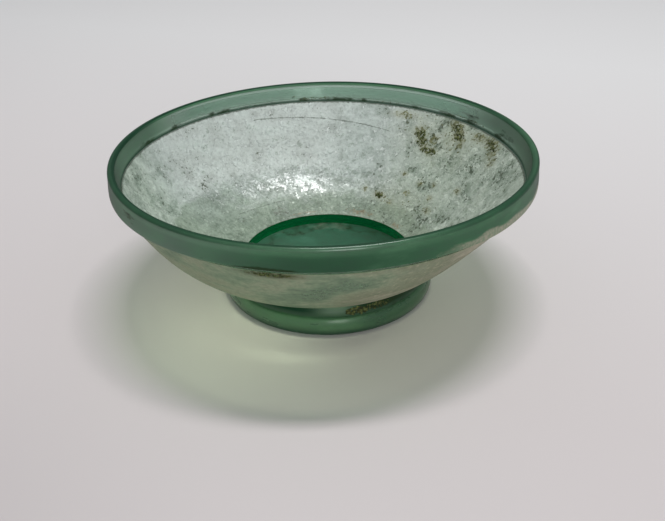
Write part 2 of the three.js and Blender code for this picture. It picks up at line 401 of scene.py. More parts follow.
def blown_glass(name, density, shade, dull, bright):
    """Soda-lime glass blown without a mould, blue-green from the iron in its sand. Long burial
    etched its outside to a matt satin, stained it in the corners, and left a milky bloom here and
    there. The lip was polished by the fire. It is dark partly from the long way the light has to
    go through it and partly from painted shade, and its front crest is painted lighter under its
    highlight. shade is the colour of its shadow, and dull and bright are the tones of its etched
    face."""
    material, tree, place, mark = start_finish(name, GLASS_MARKS + ("deep", "joined"))
    ripple = add(tree, "TexNoise", {"Vector": place, "Scale": per_size(14), "Detail": 2.0})
    etch = add(tree, "TexNoise", {"Vector": place, "Scale": per_size(0.9), "Detail": 3.0})
    relief = add(tree, "Math", {0: etch, 1: 0.05, 2: ripple}, operation="MULTIPLY_ADD")
    bump = add(tree, "Bump", {"Height": relief, "Strength": 1.0, "Distance": 0.4 * MM})
    drawn = add(tree, "VectorMath", {0: place, 1: (1.0, 1.0, 3.0)}, operation="MULTIPLY")
    streak = add(tree, "TexNoise", {
        "Vector": drawn, "Scale": per_size(13), "Detail": 5.0, "Roughness": 0.6})
    blotch = add(tree, "MapRange", {
        "Value": streak, "From Min": 0.3, "From Max": 0.7, "To Min": 0.93, "To Max": 1.05})
    haze = add(tree, "Math", {0: mark["hazy"], 1: blotch}, operation="MULTIPLY", use_clamp=True)
    streaky = add(tree, "MapRange", {"Value": streak, "From Min": 0.32, "From Max": 0.68})
    etched_tone = add(tree, "Mix", {
        "Factor": streaky, "A": colour(dull), "B": colour(bright)}, data_type="RGBA")
    tone = add(tree, "Mix", {
        "Factor": haze, "A": colour("#e4f2ea"), "B": etched_tone}, data_type="RGBA")
    slant = add(tree, "LayerWeight", {"Blend": 0.5})
    slanted = add(tree, "MapRange", {
        "Value": slant.outputs["Facing"], "From Min": 0.6, "From Max": 1.0, "To Min": 0.0,
        "To Max": 0.85}, interpolation_type="SMOOTHSTEP")
    # thick and slanted darken the tone. Where thick marks creases, the foot's neck and lower ring,
    # the lower front flap and the lip, this darkening is painted shade.
    darker = add(tree, "Math", {0: mark["thick"], 1: slanted}, operation="MAXIMUM")
    darkened = add(tree, "Mix", {
        "Factor": darker, "A": tone, "B": colour("#153c28")}, data_type="RGBA")
    hue = add(tree, "Mix", {
        "Factor": mark["deep"], "A": darkened, "B": colour("#10e88a")}, data_type="RGBA")
    mottle = add(tree, "TexNoise", {
        "Vector": drawn, "Scale": per_size(5), "Detail": 5.0, "Roughness": 0.65})
    stain = add(tree, "Math", {0: mottle, 1: 1.3, 2: mark["grimy"]}, operation="MULTIPLY_ADD")
    stained = add(tree, "MapRange", {
        "Value": stain, "From Min": 1.08, "From Max": 1.4, "To Max": 0.88})
    grime = add(tree, "Mix", {
        "Factor": stained, "A": hue, "B": colour("#273820")}, data_type="RGBA")
    bloom = add(tree, "Math", {0: streak, 1: 0.9, 2: mark["milky"]}, operation="MULTIPLY_ADD")
    bloomed = add(tree, "MapRange", {"Value": bloom, "From Min": 0.72, "From Max": 1.15})
    milk = add(tree, "ValToRGB", {"Fac": etch}, stops=[(0.4, "#8c9a83"), (0.6, "#aaa894")])
    skin_tone = add(tree, "Mix", {"Factor": bloomed, "A": grime, "B": milk}, data_type="RGBA")
    etched = add(tree, "Math", {0: haze, 1: -0.74, 2: 0.985}, operation="MULTIPLY_ADD")
    crusted = add(tree, "Math", {0: bloomed, 1: stained}, operation="MAXIMUM")
    closed = add(tree, "Math", {0: crusted, 1: mark["thick"]}, operation="MAXIMUM")
    covered = add(tree, "Math", {0: closed, 1: -0.8, 2: 1.0}, operation="MULTIPLY_ADD")
    milder = add(tree, "Math", {0: mark["deep"], 1: -0.16, 2: etched}, operation="MULTIPLY_ADD")
    let_through = add(tree, "Math", {0: milder, 1: covered}, operation="MULTIPLY")
    satin = add(tree, "MapRange", {"Value": haze, "To Min": 0.12, "To Max": 0.45})
    smoother = add(tree, "Math", {0: mark["polished"], 1: -0.75, 2: 1.0}, operation="MULTIPLY_ADD")
    gloss = add(tree, "Math", {0: satin, 1: smoother}, operation="MULTIPLY")
    skin = add(tree, "BsdfPrincipled", {
        "Base Color": skin_tone, "Roughness": gloss, "IOR": 1.5, "Transmission Weight": let_through,
        "Specular IOR Level": 0.12, "Specular Tint": (0.42, 0.56, 0.48, 1.0),
        "Coat Weight": mark["polished"], "Coat Roughness": 0.24, "Normal": bump})
    path = add(tree, "LightPath")
    outer = add(tree, "Math", {0: mark["joined"], 1: -1.0, 2: 1.0}, operation="MULTIPLY_ADD")
    shading = add(tree, "Math", {0: path.outputs["Is Shadow Ray"], 1: outer}, operation="MULTIPLY")
    passed = add(tree, "Mix", {"Factor": shading, "A": WHITE, "B": colour(shade)}, data_type="RGBA")
    clear = add(tree, "BsdfTransparent", {"Color": passed})
    through = add(tree, "Math", {
        0: mark["joined"], 1: path.outputs["Is Shadow Ray"]}, operation="MAXIMUM")
    both = add(tree, "MixShader", {0: through, 1: skin, 2: clear})
    inside = add(tree, "VolumeAbsorption", {"Color": GLASS_TINT, "Density": density})
    add(tree, "OutputMaterial", {"Surface": both, "Volume": inside})
    return material


CRUST_MARKS = ("pale", "even", "flaky", "flecked", "damp", "thin", "soiled", "gritty", "rusty",
               "crack", "edge")


def weathering_crust():
    """Silica-rich weathering crust, left when water leached the glass. It came off in thin
    scales: a pale, silky grey skin in layers with crisp edges, pitted, and stained olive and
    rust by the soil. Light that falls on it comes through on the other side."""
    material, tree, place, mark = start_finish("weathering crust, flaked", CRUST_MARKS)
    wander = add(tree, "TexNoise", {
        "Vector": place, "Scale": per_size(2.0), "Detail": 4.0, "Roughness": 0.65})
    bent = add(tree, "VectorMath", {0: wander.outputs["Color"], 1: (3.0 * MM, 3.0 * MM, 3.0 * MM),
                                    2: place}, operation="MULTIPLY_ADD")
    layers = add(tree, "TexNoise", {
        "Vector": place, "Scale": per_size(9), "Detail": 9.0, "Roughness": 0.7})
    scales = add(tree, "TexNoise", {
        "Vector": place, "Scale": per_size(3.4), "Detail": 7.0, "Roughness": 0.74})
    pits = add(tree, "TexNoise", {
        "Vector": place, "Scale": per_size(1.2), "Detail": 4.0, "Roughness": 0.6})
    chips = add(tree, "TexVoronoi", {"Vector": bent, "Scale": per_size(0.9)}, feature="F1")
    chip = add(tree, "SeparateColor", {"Color": chips.outputs["Color"]})
    layer_step = add(tree, "ValToRGB", {"Fac": layers}, stops=[
        (0.40, "#545454"), (0.406, "#8c8c8c"), (0.47, "#969696"), (0.476, "#b0b0b0"),
        (0.54, "#bababa"), (0.546, "#d0d0d0"), (0.62, "#dadada"), (0.626, "#f0f0f0")])
    rough_part = add(tree, "Math", {0: chip.outputs[0], 1: mark["flaky"]}, operation="MULTIPLY")
    height = add(tree, "Math", {0: rough_part, 1: 0.36, 2: layer_step}, operation="MULTIPLY_ADD")
    level = add(tree, "Math", {0: mark["flaky"], 1: -0.22, 2: height}, operation="MULTIPLY_ADD")
    toned = add(tree, "ValToRGB", {"Fac": level}, stops=[
        (0.0, "#96a29b"), (0.2, "#b2bcb6"), (0.45, "#ced4d1"), (0.75, "#e1e5e3"), (1.0, "#f1f4f3")])
    evened = add(tree, "Math", {0: mark["even"], 1: 0.5}, operation="MULTIPLY")
    grain = add(tree, "MapRange", {
        "Value": pits, "From Min": 0.32, "From Max": 0.68, "To Min": 0.76, "To Max": 1.1})
    grainy = add(tree, "MapRange", {"Value": mark["flaky"], "To Min": 0.4})
    calm = add(tree, "Mix", {
        "Factor": evened, "A": toned, "B": colour("#ebeceb")}, data_type="RGBA")
    shards = add(tree, "Math", {0: chip.outputs[2], 1: 0.22, 2: scales}, operation="MULTIPLY_ADD")
    # White, glossy flecks. Where the flecked mark is strongest they are a painted glint.
    white_line = add(tree, "Math", {
        0: mark["flecked"], 1: 0.15, 2: shards}, operation="MULTIPLY_ADD")
    white = add(tree, "MapRange", {
        "Value": white_line, "From Min": 0.715, "From Max": 0.735, "To Max": 0.92})
    flecked = add(tree, "Mix", {
        "Factor": white, "A": calm, "B": colour("#f7faf9")}, data_type="RGBA")
    worn_line = add(tree, "Math", {
        0: mark["flaky"], 1: -0.085, 2: scales}, operation="MULTIPLY_ADD")
    worn = add(tree, "MapRange", {
        "Value": worn_line, "From Min": 0.362, "From Max": 0.38, "To Min": 0.55, "To Max": 0.0})
    bared = add(tree, "Mix", {
        "Factor": worn, "A": flecked, "B": colour("#869486")}, data_type="RGBA")
    blush = add(tree, "Mix", {
        "Factor": layers, "A": colour("#f9f7f6"), "B": colour("#effef9")}, data_type="RGBA")
    tint = add(tree, "Mix", {
        "Factor": mark["pale"], "A": colour("#f3fef2"), "B": blush}, data_type="RGBA")
    grained = add(tree, "Mix", {
        "Factor": grainy, "A": bared, "B": grain}, data_type="RGBA", blend_type="MULTIPLY")
    paled = add(tree, "Mix", {
        "Factor": 1.0, "A": grained, "B": tint}, data_type="RGBA", blend_type="MULTIPLY")
    damp_line = add(tree, "Math", {0: layers, 1: 3.0, 2: mark["damp"]}, operation="MULTIPLY_ADD")
    dampness = add(tree, "MapRange", {"Value": damp_line, "From Min": 1.8, "From Max": 2.35})
    damp = add(tree, "Mix", {
        "Factor": dampness, "A": WHITE, "B": colour("#c8d0c6")}, data_type="RGBA")
    damped = add(tree, "Mix", {
        "Factor": 1.0, "A": paled, "B": damp}, data_type="RGBA", blend_type="MULTIPLY")
    dusty = add(tree, "Math", {0: mark["soiled"], 1: layers}, operation="MULTIPLY")
    dusted = add(tree, "Mix", {
        "Factor": dusty, "A": damped, "B": colour("#a3a481")}, data_type="RGBA")
    clustered = add(tree, "Math", {0: layers, 1: -1.0, 2: pits}, operation="MULTIPLY_ADD")
    pit_line = add(tree, "Math", {
        0: mark["gritty"], 1: 0.12, 2: clustered}, operation="MULTIPLY_ADD")
    pit = add(tree, "MapRange", {
        "Value": pit_line, "From Min": 0.23, "From Max": 0.255, "To Max": 0.88})
    pitted = add(tree, "Mix", {
        "Factor": pit, "A": dusted, "B": colour("#4c5a45")}, data_type="RGBA")
    soil_line = add(tree, "Math", {0: mark["soiled"], 1: 0.31, 2: pits}, operation="MULTIPLY_ADD")
    soil_spot = add(tree, "MapRange", {
        "Value": soil_line, "From Min": 0.76, "From Max": 0.80, "To Max": 0.92})
    soil_tone = add(tree, "ValToRGB", {"Fac": chip.outputs[1]}, stops=[
        (0.0, "#4a502a"), (0.5, "#6b703f"), (1.0, "#8d9066")])
    soiled = add(tree, "Mix", {"Factor": soil_spot, "A": pitted, "B": soil_tone}, data_type="RGBA")
    rust_line = add(tree, "Math", {0: mark["rusty"], 1: 0.35, 2: pits}, operation="MULTIPLY_ADD")
    rust_spot = add(tree, "MapRange", {
        "Value": rust_line, "From Min": 0.68, "From Max": 0.85, "To Max": 0.6})
    rusted = add(tree, "Mix", {
        "Factor": rust_spot, "A": soiled, "B": colour("#8f744c")}, data_type="RGBA")
    width = add(tree, "Math", {0: mark["crack"]}, operation="ABSOLUTE")
    ragged = add(tree, "Math", {0: pits, 1: 0.8, 2: width}, operation="MULTIPLY_ADD")
    crack = add(tree, "MapRange", {
        "Value": ragged, "From Min": 0.45, "From Max": 0.65, "To Min": 0.7, "To Max": 0.0})
    # A dark frayed border along the crust's edges. At its top this is painted shade in the crease
    # under the collar.
    frayed = add(tree, "Math", {0: pits, 1: 0.9, 2: mark["edge"]}, operation="MULTIPLY_ADD")
    rim = add(tree, "MapRange", {
        "Value": frayed, "From Min": 0.65, "From Max": 0.95, "To Min": 0.85, "To Max": 0.0})
    dark = add(tree, "Math", {0: crack, 1: rim}, operation="MAXIMUM")
    lined = add(tree, "Mix", {
        "Factor": dark, "A": rusted, "B": colour("#3c4b38")}, data_type="RGBA")
    thick = add(tree, "MapRange", {"Value": mark["pale"], "To Min": 0.88, "To Max": 0.97})
    scaly = add(tree, "Math", {0: white, 1: 0.6, 2: height}, operation="MULTIPLY_ADD")
    bump = add(tree, "Bump", {"Height": scaly, "Strength": 1.0, "Distance": 0.25 * MM})
    matt = add(tree, "Math", {0: dampness, 1: 0.14, 2: 0.46}, operation="MULTIPLY_ADD")
    silk = add(tree, "Math", {0: white, 1: -0.22, 2: matt}, operation="MULTIPLY_ADD")
    skin = add(tree, "BsdfPrincipled", {
        "Base Color": lined, "Roughness": silk, "IOR": 1.85, "Normal": bump})
    end_skin(tree, skin, thick, mark["thin"], 0.26, (1.0, 0.98, 0.9, 1.0))
    return material


FILM_MARKS = ("limy", "stained", "worn", "thin")


def weathering_film():
    """The thinner weathering film outside: dull grey-green, with beige patches of lime."""
    material, tree, place, mark = start_finish("weathering film, thin", FILM_MARKS)
    drawn = add(tree, "VectorMath", {0: place, 1: (1.0, 1.0, 2.2)}, operation="MULTIPLY")
    cloud = add(tree, "TexNoise", {
        "Vector": drawn, "Scale": per_size(22), "Detail": 8.0, "Roughness": 0.68})
    fine = add(tree, "TexNoise", {
        "Vector": place, "Scale": per_size(1.4), "Detail": 4.0, "Roughness": 0.6})
    limed = add(tree, "Math", {0: mark["limy"], 1: 0.16, 2: cloud}, operation="MULTIPLY_ADD")
    patch = add(tree, "Math", {0: mark["worn"], 1: -0.3, 2: limed}, operation="MULTIPLY_ADD")
    tone = add(tree, "ValToRGB", {"Fac": patch}, stops=[
        (0.36, "#82977e"), (0.44, "#98a98d"), (0.5, "#a4ad93"), (0.60, "#959c81"),
        (0.68, "#9fa089"), (0.8, "#bab49e")])
    grain = add(tree, "ValToRGB", {"Fac": fine}, stops=[
        (0.35, "#e2e2e2"), (0.5, "#f2f2f2"), (0.66, "#ffffff")])
    grained = add(tree, "Mix", {
        "Factor": 1.0, "A": tone, "B": grain}, data_type="RGBA", blend_type="MULTIPLY")
    fleck = add(tree, "Math", {0: mark["limy"], 1: 0.13, 2: fine}, operation="MULTIPLY_ADD")
    flecks = add(tree, "MapRange", {
        "Value": fleck, "From Min": 0.72, "From Max": 0.76, "To Max": 0.35})
    flecked = add(tree, "Mix", {
        "Factor": flecks, "A": grained, "B": colour("#cdc4ab")}, data_type="RGBA")
    smear = add(tree, "Math", {0: mark["stained"], 1: 0.9, 2: fine}, operation="MULTIPLY_ADD")
    smeared = add(tree, "MapRange", {
        "Value": smear, "From Min": 0.75, "From Max": 1.2, "To Max": 0.9})
    mixed = add(tree, "Mix", {
        "Factor": smeared, "A": flecked, "B": colour("#50552f")}, data_type="RGBA")
    thick = add(tree, "MapRange", {
        "Value": patch, "From Min": 0.25, "From Max": 0.7, "To Min": 0.5, "To Max": 0.82})
    bump = add(tree, "Bump", {"Height": fine, "Strength": 0.4, "Distance": 0.12 * MM})
    skin = add(tree, "BsdfPrincipled", {"Base Color": mixed, "Roughness": 0.6, "Normal": bump})
    end_skin(tree, skin, thick, mark["thin"], 0.25, WHITE)
    return material


def burial_soil():
    """Clayey soil, dry and crumbled: matt, olive to brown from crumb to crumb."""
    material, tree, place, _ = start_finish("burial soil, dry")
    grain = add(tree, "TexNoise", {"Vector": place, "Scale": per_size(1.1), "Detail": 4.0})
    tone = add(tree, "ValToRGB", {"Fac": grain}, stops=[
        (0.36, "#272f10"), (0.5, "#475026"), (0.66, "#6e7644")])
    bump = add(tree, "Bump", {"Height": grain, "Strength": 0.8, "Distance": 0.2 * MM})
    skin = add(tree, "BsdfPrincipled", {"Base Color": tone, "Roughness": 0.9, "Normal": bump})
    add(tree, "OutputMaterial", {"Surface": skin})
    return material


wall_glass = blown_glass("blown glass, etched", 215.0, "#fffdf6", "#446e50", "#618a69")
collar_glass = blown_glass("blown glass, folded", 130.0, "#98ab94", "#3a6849", "#60906d")
foot_glass = blown_glass("blown glass, pinched", 180.0, "#84a87c", "#456f4d", "#6b926c")
floor_glass = blown_glass("blown glass, thick", 300.0, "#d2e2d2", "#2f6446", "#5c957a")
crust_finish = weathering_crust()
film_finish = weathering_film()
soil_finish = burial_soil()


# The glass
def near(angle, middle, reach):
    """1 at an angle round the bowl, and less and less away from it. In degrees."""
    away = (angle - middle + 180) % 360 - 180
    return math.exp(-(away / reach) ** 2)


def spot(at, middle, reach):
    """How near a place is to the middle of a mark: 1 there, and less and less away from it."""
    away = [(at[i] - middle[i]) / reach[i] for i in (0, 1)]
    return math.exp(-away[0] ** 2 - away[1] ** 2)


def thinness(angle, share):
    """Crust and film are thin at the front left, and thinnest in one place there, which lets a
    bright streak of light fall on the table."""
    return max(0.85 * near(angle, -130, 40), 1.3 * spot((angle, share), (-110, 0.37), (24, 0.1)))


def strongest(at, marks):
    """The strongest of some marks at a place: each is a strength, a middle and a reach."""
    return max(strength * spot(at, middle, reach) for strength, middle, reach in marks)


def wall_marks(angle, radius, height):
    """The wall and the scar are clear glass. Where the wall meets the collar it is painted dark:
    painted shade in the crease there.
    """
    return {"hazy": 0.05, "thick": smooth(COLLAR_BASE - 1.0, COLLAR_BASE - 0.3, height)}


# Where the collar is stained inside: a place in degrees, and its half width
COLLAR_STAINS = [
    (84, 4.5), (88.5, 2), (97.5, 1.6), (76, 1.5), (57, 2), (44, 4), (34, 3), (126, 2.5), (131, 1.5),
    (147, 3), (161, 4), (19, 4)]
# Smears outside and inside it: strength, then middle and reach, in degrees and above its foot
OUTER_SMEARS = [
    (1.1, (-102, 0.4), (9, 1.1)), (0.55, (-143, 4.2), (9, 2.2)), (0.5, (-20, 3.0), (12, 2.5))]
INNER_SMEARS = [(0.68, (34, 2.8), (7, 1.7)), (0.68, (15, 2.6), (6, 2.0))]


def collar_marks(angle, radius, height):
    """The collar is etched outside, least of all at the back, and its hem has a milky bloom at
    the right. Inside it is stained along its foot. The lip is polished in front. Painted shade
    darkens the lip's crest, the lower front of the flap and the crease along the inner foot,
    and the front crest is painted lighter under its highlight. The back middle is etched less,
    which is painted light for the window reflected there."""
    up = height - COLLAR_BASE
    outside = smooth(RIM_RADIUS - FLAP_THICKNESS - 0.1, RIM_RADIUS - FLAP_THICKNESS / 2, radius)
    inside = 1 - smooth(LIP_INNER + 0.1, LIP_INNER + 0.5, radius)
    crest = smooth(COLLAR_HEIGHT - LIP_THICKNESS * 0.6, COLLAR_HEIGHT - LIP_THICKNESS * 0.3, up)
    across = radius - LIP_INNER - LIP_THICKNESS / 2
    shiny = crest * smooth(0.35, 0.9, across) * near(angle, -88, 30)
    front = 0.5 - 0.5 * math.sin(math.radians(angle))
    side = abs(math.cos(math.radians(angle)))
    behind = 1 - smooth(0.15, 0.45, front)
    # Painted shade on the lip's crest: along its outer half at the back and its inner half in
    # front, less at the far right.
    dark = (behind * smooth(-1.2, -0.8, across)
            + (1 - behind) * (1 - 0.18 * smooth(-0.5, 0.1, across)))
    dark *= 1 - 0.55 * near(angle, 0, 26) * (1 - smooth(0.3, 0.9, across))
    low = 1 - smooth(0.8, 3.4, up)
    hem = 1 - smooth(0.4, 5.5, up)
    # Painted shade low on the flap outside, darkest in front.
    low_shade = 1 - smooth(4.2, 6.8, up)
    # Painted shade in the crease along the collar's inner foot.
    crease = 1 - smooth(0.2, 0.9, up)
    stains = low * max(near(angle, *place) for place in COLLAR_STAINS)
    bloomed = 1.5 + 2.1 * uneven(math.radians(angle), 7, 5.1)
    bloom = near(angle, -36, 24) * (1 - smooth(bloomed, bloomed + 1.4, up))
    # The back middle is etched less and so reads lighter: painted light for the window reflected
    # there.
    etched = ((0.25 + 0.75 * smooth(0.06, 0.5, front))
              * (1 - 0.15 * near(angle, -128, 22) - 0.4 * near(angle, 88, 12)))
    inner = max(0.5 * low, (0.9 - 0.16 * near(angle, 15, 35)) * smooth(0.72, 0.95, side))
    # thick here is painted shade. Under the front crest's highlight it is lifted, which paints the
    # crest lighter.
    return {"hazy": max(outside * etched, inside * inner, crest),
            "milky": outside * bloom,
            "thick": max(crest * dark * (1 - 0.9 * shiny),
                         outside * low_shade * (0.12 + 0.52 * near(angle, -90, 28)),
                         inside * crease),
            "polished": shiny,
            "grimy": max(inside * max(0.25 * low + 0.6 * stains,
                                      strongest((angle, up), INNER_SMEARS)),
                         outside * max(strongest((angle, up), OUTER_SMEARS),
                                       0.3 * hem * (1 - bloom)))}


def foot_marks(angle, radius, height):
    """The foot's ring is satin, with painted shade on its lower part and in the groove above it.
    Its neck has painted shade under the wall, but for a clear place in front that is painted
    lighter, and soil has stained both at the right of that, and the well's side at the back right."""
    outside = smooth(NECK_RADIUS - 0.4, NECK_RADIUS, radius)
    neck = smooth(GROOVE_HEIGHT - 0.2, GROOVE_HEIGHT + 1.2, height)
    groove = math.exp(-((height - GROOVE_HEIGHT - 0.1) / 0.45) ** 2)
    clear = near(angle, -86, 9)
    soily = smooth(-84, -62, angle) * (1 - smooth(-30, 0, angle))
    under = 1 - smooth(0.8, 5.0, height)
    # thick here is painted shade: on the neck under the wall, in the groove and on the ring's lower
    # part, with the soil stain at the right. The clear place in front is left out of the neck's
    # shade, and its faint milky tone is painted light.
    return {"hazy": outside * (1 - 0.15 * neck), "milky": outside * neck * clear * 0.2,
            "thick": outside * max(neck * (1 - clear), 0.7 * groove, 0.5 * soily, 0.85 * under),
            "polished": outside * (1 - neck) * 0.5,
            "grimy": max(outside * soily * (0.35 + 0.4 * neck),
                         (1 - outside) * 0.6 * near(angle, 32, 26))}


def floor_marks(angle, radius, height):
    """The floor is etched on top, darker at the right, and stained towards its edge."""
    right = 0.5 + 0.5 * math.cos(math.radians(angle + 20)) * radius / FLOOR_RADIUS
    back = near(angle, 95, 60) * smooth(0.45 * FLOOR_RADIUS, 0.9 * FLOOR_RADIUS, radius)
    top = smooth(FLOOR_UNDER, FLOOR_TOP, height)
    dirty = smooth(0.5 * FLOOR_RADIUS, 0.85 * FLOOR_RADIUS, radius)
    return {"hazy": top, "milky": 0.08 + 0.18 * back, "thick": 0.22 + 0.6 * right,
            "grimy": 0.5 * top * dirty}


def glass_piece(name, section, joins, finish, node, marks=wall_marks, deep=()):
    """joins are the lines of the section that touch other glass, deep those of the well's side."""
    bm = turn(section)
    mark_faces(bm, "joined", joins)
    mark_faces(bm, "deep", deep)
    layers = {kind: bm.verts.layers.float.new(kind) for kind in GLASS_MARKS}
    for vert in bm.verts:
        angle = math.degrees(math.atan2(vert.co.y, vert.co.x))
        radius = math.hypot(vert.co.x, vert.co.y)
        for kind, value in marks(angle, radius, vert.co.z).items():
            vert[layers[kind]] = value
        if node == "rim_collar":
            vert.co.z -= hem_droop(angle, radius, vert.co.z)
    settle(bm)
    piece(name, bm, finish, (node,))


def hem_droop(angle, radius, height):
    """The hem of the folded flap hangs unevenly, lowest at the left."""
    flap = smooth(RIM_RADIUS - FLAP_THICKNESS - 0.1, RIM_RADIUS - FLAP_THICKNESS, radius)
    low = 1 - smooth(COLLAR_BASE, COLLAR_BASE + 5, height)
    return flap * low * (near(angle, -152, 30) + 0.3 * near(angle, -30, 20)
                         + 0.25 * uneven(math.radians(angle), 5, 3.7))


top_join = ((COLLAR_INNER, COLLAR_BASE), (COLLAR_INNER + WALL_RUN, COLLAR_BASE))
neck_join = ((WELL_RADIUS, WELL_TOP), (NECK_RADIUS, WELL_TOP))
floor_join = ((FLOOR_RADIUS, FLOOR_UNDER), (FLOOR_RADIUS, FLOOR_TOP))
scar_join = ((SCAR_RADIUS - SCAR_WIDTH, SCAR_SEAT), (SCAR_RADIUS, SCAR_SEAT))
well_side = ((FLOOR_RADIUS, FLOOR_TOP), (WELL_RADIUS, WELL_TOP))

glass_piece("bowl_wall_glass", wall_section(), [top_join, neck_join], wall_glass, "bowl_wall")
glass_piece("rim_collar_glass", collar_section(), [top_join], collar_glass, "rim_collar",
            collar_marks)
glass_piece("foot_ring_glass", foot_section(), [neck_join, floor_join], foot_glass, "foot_ring",
            foot_marks, [well_side])
glass_piece("floor_disc_glass", floor_section(), [floor_join, scar_join], floor_glass,
            "floor_disc", floor_marks)
glass_piece("pontil_scar_glass", scar_section(), [scar_join], wall_glass, "pontil_scar")


# Crust and film
WALL_LENGTH = 58.0
# Where they begin and end, in shares of the wall's line, and how far behind it their faces lie
CRUST_FOOT = -0.008
CRUST_TOP = 0.996
CRUST_BACK = -0.05
CRUST_FACE = -0.3
FILM_FOOT = NECK_SHARE + 0.01
FILM_TOP = 0.985
FILM_BACK = WALL_THICKNESS + 0.05
FILM_FACE = WALL_THICKNESS + 0.2
# How large the crust's scales are, and how far they are raised
SCALE_SIZE = 4.5
SCALE_LIFT = 0.1
# Off the ends of a crack, every place is this far from it
OFF_CRACK = 9.0


def shell_section(low, high, back, face, count):
    shares = steps(low, high, count)
    behind = [behind_wall(s, back) + (wall_drift(s), 0.0, s) for s in shares]
    before = [behind_wall(s, face) + (wall_drift(s), 0.0, s, 1.0) for s in reversed(shares)]
    return behind + before


def off_line(at, start, end, sag):
    """How far, along the wall, a place lies above a crack between two places."""
    along = (at[0] - start[0]) / (end[0] - start[0])
    if not 0 <= along <= 1:
        return OFF_CRACK
    line = start[1] + (end[1] - start[1]) * along + sag * 4 * along * (1 - along)
    return (at[1] - line) * WALL_LENGTH


# Each crack: its two ends, in degrees and in shares of the wall's line, and its sag
CRACKS = [
    ((116, 0.922), (62, 0.84), 0.012), ((146, 0.185), (114, 0.165), -0.01),
    ((91, 0.40), (85, 0.49), 0.0)]
# Middle and reach, in degrees about the axis and in shares of the wall's line
SOIL_MARKS = [
    ((51, 0.885), (2.2, 0.03)), ((49, 0.84), (1.8, 0.03)), ((46, 0.79), (1.8, 0.025)),
    ((42.5, 0.775), (2.6, 0.03)), ((44, 0.86), (1.6, 0.02)), ((60, 0.955), (5.0, 0.02)),
    ((39, 0.975), (2.6, 0.025)), ((35.5, 0.93), (2.0, 0.04)), ((32.5, 0.89), (1.4, 0.03)),
    ((27, 0.96), (3.0, 0.025)), ((20, 0.965), (3.4, 0.03)), ((16.5, 0.93), (2.2, 0.04)),
    ((13, 0.89), (1.6, 0.03)), ((57.2, 0.24), (3.4, 0.045)), ((66, 0.28), (1.4, 0.03)),
    ((50, 0.2), (2.2, 0.025)), ((48, 0.54), (1.6, 0.025)), ((38, 0.5), (2.0, 0.03)),
    ((31, 0.55), (1.6, 0.03)), ((24, 0.30), (2.4, 0.04)), ((28, 0.42), (1.6, 0.03)),
    ((42, 0.36), (1.6, 0.025)), ((17, 0.62), (2.0, 0.03))]
RUST_MARKS = [
    ((66, 0.03), (12.0, 0.03)), ((35, 0.02), (6.0, 0.025)), ((57.2, 0.24), (2.2, 0.03)),
    ((108, 0.02), (16.0, 0.012))]
# Where the film is worn: strength, then middle and reach
WORN_MARKS = [(1.0, (-78, 0.84), (9, 0.09)), (0.6, (-92, 0.8), (7, 0.14))]


def crust_marks(bm):
    """Where the crust has each of its marks, and how far it is to its cracks and edges."""
    rise = bm.verts.layers.float["rise"]
    drift = bm.verts.layers.float["drift"]
    pale, even, flaky, flecked, damp, thin, soiled, gritty, rusty, crack, edge = [
        bm.verts.layers.float.new(name) for name in CRUST_MARKS]
    for vert in bm.verts:
        share = vert[rise]
        angle = math.degrees(math.atan2(vert.co.y, vert.co.x - vert[drift] * MM))
        at = (angle, share)
        right = 1 - smooth(44, 70, abs(angle - 5))
        left = smooth(128, 150, angle)
        up = smooth(0.42, 0.6, share)
        vert[pale] = (smooth(36, 66, angle) * (1 - smooth(156, 180, abs(angle)))
                      * smooth(0.04, 0.4, share))
        vert[flaky] = max((1 - vert[pale] * up) * (1 - 0.3 * right - 0.4 * left), 0.25,
                          spot(at, (112, 0.36), (30, 0.1)))
        vert[even] = smooth(70, 92, angle) * (1 - smooth(150, 166, abs(angle))) * up
        # White flecks: real white flakes, gathered most thickly around 97 to 108 degrees where the
        # lamp's glint falls, and there they are a painted glint.
        vert[flecked] = (spot(at, (108, 0.34), (25, 0.08)) + 0.35 * right
                         + spot(at, (97, 0.27), (7, 0.07))
                         + 0.3 * spot(at, (150, 0.5), (18, 0.16)))
        vert[damp] = max(1 - smooth(0.08, 0.3, share),
                         1.5 * near(angle, 172, 34) * (1 - smooth(0.4, 0.6, share)))
        vert[thin] = thinness(*at) - near(angle, -72, 26) * (1 - smooth(0.15, 0.4, share))
        vert[soiled] = min(1.0, 0.2 * right + 0.35 * spot(at, (42, 0.86), (18, 0.12))
                           + 0.3 * spot(at, (42, 0.28), (24, 0.14))
                           + sum(spot(at, *m) for m in SOIL_MARKS))
        vert[rusty] = min(1.0, sum(spot(at, *m) for m in RUST_MARKS))
        vert[gritty] = min(1.0, 0.1 + 0.75 * right + 0.3 * (1 - smooth(0.1, 0.3, share))
                           + 0.5 * left * up)
        vert[crack] = min((off_line(at, *c) for c in CRACKS), key=abs)
        # The crust darkens along its edges: at its top as painted shade in the crease under the
        # collar, and at its foot.
        vert[edge] = min((CRUST_TOP - share) * WALL_LENGTH,
                         0.3 + (share - CRUST_FOOT) * WALL_LENGTH * 3)


def raise_scales(bm):
    """Lifts or lowers the crust's face in layers, so that the edges of its scales are real."""
    rise = bm.verts.layers.float["rise"]
    face = bm.verts.layers.float["face"]
    for vert in bm.verts:
        if vert[face]:
            level = noise.fractal(vert.co / (SCALE_SIZE * MM), 0.9, 2.1, 4)
            level = max(-1.0, min(1.0, math.floor(level * 3 + 0.5) / 3))
            out = Vector((vert.co.x, vert.co.y, 0.0)).normalized()
            inward = (Vector((0.0, 0.0, 1.0)) - out * (0.5 + vert[rise])).normalized()
            vert.co += inward * (SCALE_LIFT * level * MM)


